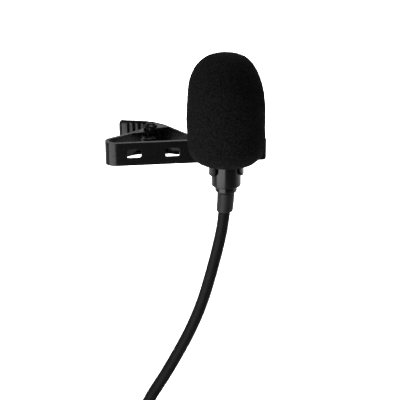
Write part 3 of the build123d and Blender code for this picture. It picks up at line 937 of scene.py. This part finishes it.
def coil_points():
    """The put-away turns, each crossing to its next place over the last part of its round."""
    points = []
    total = len(COIL_SLOTS) * POINTS_PER_TURN
    widen = 1 / math.cos(math.pi / POINTS_PER_TURN)
    for i in range(1, total):
        turn, step = divmod(i, POINTS_PER_TURN)
        out, across = COIL_SLOTS[turn]
        if turn + 1 < len(COIL_SLOTS):
            ease = smooth_step(0.75, 1.0, step / POINTS_PER_TURN)
            next_out, next_across = COIL_SLOTS[turn + 1]
            out += (next_out - out) * ease
            across += (next_across - across) * ease
        radius = (COIL_MID_R + out * CABLE_D) * widen
        angle = math.pi + 2 * math.pi * i / POINTS_PER_TURN
        points.append((COIL.x + radius * math.cos(angle), COIL.y + across * CABLE_D,
                       COIL.z + radius * math.sin(angle)))
    return points


def make_cable(material):
    data = bpy.data.curves.new("cable", "CURVE")
    data.dimensions = "3D"
    points = LEAD_POINTS + coil_points() + TAIL_POINTS
    spline = data.splines.new("NURBS")
    spline.points.add(len(points) - 1)
    for point, spot in zip(spline.points, points):
        point.co = (*(Vector(spot) * MM), 1.0)
    spline.order_u = 3
    spline.use_endpoint_u = True
    spline.resolution_u = 8
    data.bevel_depth = CABLE_D / 2 * MM
    data.bevel_resolution = 6
    data.use_fill_caps = True
    data.materials.append(material)
    cable = bpy.data.objects.new("cable", data)
    bpy.context.scene.collection.objects.link(cable)
    place(cable, "microphone", "cable_jacket", "cable_lead", "cable_coil", "cable_tail")
    return cable


def make_tie(material):
    """Woven tape wrapped round the bundle of turns, with its end lapped over."""
    half_r, half_y, sheet, corner = 1.5 * CABLE_D, 2 * CABLE_D, 0.75, 2.2
    reach = 0.8 * math.atan2(tie_high.z - tie_low.z, 2 * COIL_MID_R)
    steps = 14
    verts, faces = [], []

    def outline(grow):
        box = [(half_r + grow, half_y + grow), (-half_r - grow, half_y + grow),
               (-half_r - grow, -half_y - grow), (half_r + grow, -half_y - grow)]
        return rounded(box, corner + grow, 8)

    for low, high, start, end in ((0.04, sheet, 0, None), (sheet - 0.02, sheet + 0.5, 4, 22)):
        inner, outer = outline(low)[start:end], outline(high)[start:end]
        loop = inner + list(reversed(outer)) if end else None
        rings = []
        for i in range(steps + 1):
            angle = reach * (2 * i / steps - 1)
            ring = []
            for section in ([loop] if loop else [inner, outer]):
                for r, y in section:
                    radius = COIL_MID_R + r
                    ring.append(len(verts))
                    verts.append((COIL.x + radius * math.cos(angle), COIL.y + y,
                                  COIL.z + radius * math.sin(angle)))
            rings.append(ring)
        faces += band_faces(rings, len(inner), loop is not None)
    piece = add_mesh("coil_tape", verts, faces, material)
    tidy_mesh(piece)
    bevel(piece, 0.12, 2, 50)
    return place(piece, "microphone", "tie_fabric", "coil_tie")


def band_faces(rings, count, single):
    """Faces of a band swept through rings of points: one closed section, or an inner and an outer one."""
    faces = []
    loops = [list(range(2 * count))] if single else [list(range(count)), list(range(count, 2 * count))]
    for a, b in zip(rings, rings[1:]):
        for loop in loops:
            for k in range(len(loop)):
                p, q = loop[k], loop[(k + 1) % len(loop)]
                faces.append((a[p], a[q], b[q], b[p]))
    for ring in (rings[0], rings[-1]):
        if single:
            faces.append(tuple(ring))
        else:
            for k in range(count):
                n = (k + 1) % count
                faces.append((ring[k], ring[n], ring[count + n], ring[count + k]))
    return faces


# ------------------------------------------------------------------ plug

def make_plug(materials):
    """Ribbed boot and knurled shell of the jack plug; its contacts keep their CAD shape."""
    x, y = PLUG.x, PLUG.y
    low, high = shell_low.z, shell_high.z
    shell_r, bore, nose_bore, nose = (shell_high.x - shell_low.x) / 2, 2.7, 1.42, 1.5
    profile = [(nose_bore, low + nose), (nose_bore, low), (2.7, low), (shell_r - 0.25, low + 0.7)]
    profile += arc_points((shell_r - 0.3, low + 1.1), 0.3, -30, 0, 4)
    knurl_low, knurl_high = low + 3.0, high - 2.2
    profile += [(shell_r, knurl_low - 0.5), (shell_r - 0.16, knurl_low - 0.25)]
    profile += [(shell_r - 0.02, z) for z in spread(knurl_low, knurl_high, 0.22)]
    profile += [(shell_r - 0.16, knurl_high + 0.25), (shell_r, knurl_high + 0.5)]
    profile += arc_points((shell_r - 0.25, high - 0.25), 0.25, 0, 90, 5)
    profile += [(bore, high), (bore, low + nose)]

    def knurl(radius, z, angle):
        if radius > shell_r - 0.05 and knurl_low <= z <= knurl_high:
            climb = (z - low) / 0.9
            rise = math.cos(40 * angle + climb * math.pi) * math.cos(40 * angle - climb * math.pi)
            radius += 0.1 * rise - 0.08
        return radius * math.cos(angle), radius * math.sin(angle), z

    shell = turned("plug_knurled_shell", profile, materials["plug_shell"], (x, y), 320, knurl)
    place(shell, "microphone", "plug_shell", "plug_shell")
    low, high = plug_boot_low.z, plug_boot_high.z
    top_r, end_r = CABLE_D / 2 + 0.5, (plug_boot_high.x - plug_boot_low.x) / 2
    profile = [(0, high), (top_r - 0.15, high), (top_r, high - 0.15)]
    for k in range(1, 71):
        share = k / 72
        ribs = 0.16 * max(0.0, math.sin(share * 2 * math.pi * 7)) * (0.15 < share < 0.9)
        profile.append((top_r + (end_r - top_r) * share ** 0.8 - ribs, high - (high - low) * share))
    profile += [(end_r - 0.05, low), (0, low)]
    boot = turned("plug_ribbed_boot", profile, materials["rubber"], (x, y), 96)
    place(boot, "microphone", "rubber", "plug_boot")
    return [shell, boot]


# ------------------------------------------------------------------ light and floor

def area_light(name, spot, target, width, height, power):
    data = bpy.data.lights.new(name, "AREA")
    data.shape = "RECTANGLE"
    data.size = width
    data.size_y = height
    data.energy = power
    light = bpy.data.objects.new(name, data)
    light.location = spot
    light.visible_camera = False
    light.rotation_mode = "QUATERNION"
    light.rotation_quaternion = (Vector(target) - Vector(spot)).to_track_quat("-Z", "Y")
    bpy.context.scene.collection.objects.link(light)
    return light


def link_backdrop(tree, socket, seen, cast):
    """Makes a backdrop pale to look at, while it throws less light on the black object."""
    share = tree.nodes.new("ShaderNodeLightPath").outputs["Is Camera Ray"]
    level = tree.nodes.new("ShaderNodeMapRange")
    level.inputs["To Min"].default_value = cast
    level.inputs["To Max"].default_value = seen
    tree.links.new(share, level.inputs["Value"])
    tree.links.new(level.outputs["Result"], socket)


def make_stage():
    scene = bpy.context.scene
    scene.view_settings.view_transform = "Standard"
    world = bpy.data.worlds.new("studio")
    world.use_nodes = True
    world.node_tree.nodes["Background"].inputs["Color"].default_value = (1, 1, 1, 1)
    link_backdrop(world.node_tree, world.node_tree.nodes["Background"].inputs["Strength"], 0.9, 0.02)
    scene.world = world
    material, tree, shader, place_in = new_material("floor", (0.92, 0.92, 0.92), 0.9, 0.1)
    tone = add_ramp(tree, add_noise(tree, place_in, 0.002, 2.0), [(0.3, 0.91), (0.7, 0.93)])
    tree.links.new(tone, shader.inputs["Base Color"])
    shader.inputs["Emission Color"].default_value = (1, 1, 1, 1)
    link_backdrop(tree, shader.inputs["Emission Strength"], 0.78, 0.0)
    level = cad_low.z / MM - 3.0
    half = 4000
    floor = add_mesh("floor", [(-half, -half, level), (half, -half, level), (half, half, level),
                               (-half, half, level)], [(0, 1, 2, 3)], material, False)
    backdrop = area_light("background_light", (0.05, 1.0, 1.3), (0.0, 0.9, -0.17), 1.2, 1.2, 15)
    backdrop.data.spread = math.radians(65)
    area_light("rim_light", (0.05, 0.9, 0.42), (0, 0, 0), 1.0, 0.35, 1.5)
    area_light("overhead", (0.0, 0.05, 0.5), (0, 0, 0), 0.3, 0.3, 1.2)
    area_light("left_panel", (-0.235, -0.19, -0.09), (0, 0, -0.02), 0.385, 0.14, 1.7)
    area_light("right_panel", (0.34, 0.02, -0.08), (0, 0, -0.02), 0.3, 0.14, 0.2)


# ------------------------------------------------------------------ making

materials = make_materials()
make_camera()
cable = make_cable(materials["cable_jacket"])
tie = make_tie(materials["tie_fabric"])
plug = make_plug(materials)

make_front_jaw(materials["clip_metal"])
make_rear_jaw(materials["clip_metal"])
make_rivet(materials["rivet_metal"])
make_spring(materials["spring_steel"])
make_holder(materials["clip_metal"])
make_small_rivets(materials["rivet_metal"])
make_housing(materials["housing"])
make_bush(materials["housing"])
make_boot(materials["rubber"])
make_foam(materials["foam"])

slots = {p["node"]: p["material_slot"] for p in frame["record"]["subparts"]}
for node, obj in NODES.items():
    obj.data.materials.clear()
    obj.data.materials.append(materials[slots[node]])

make_stage()
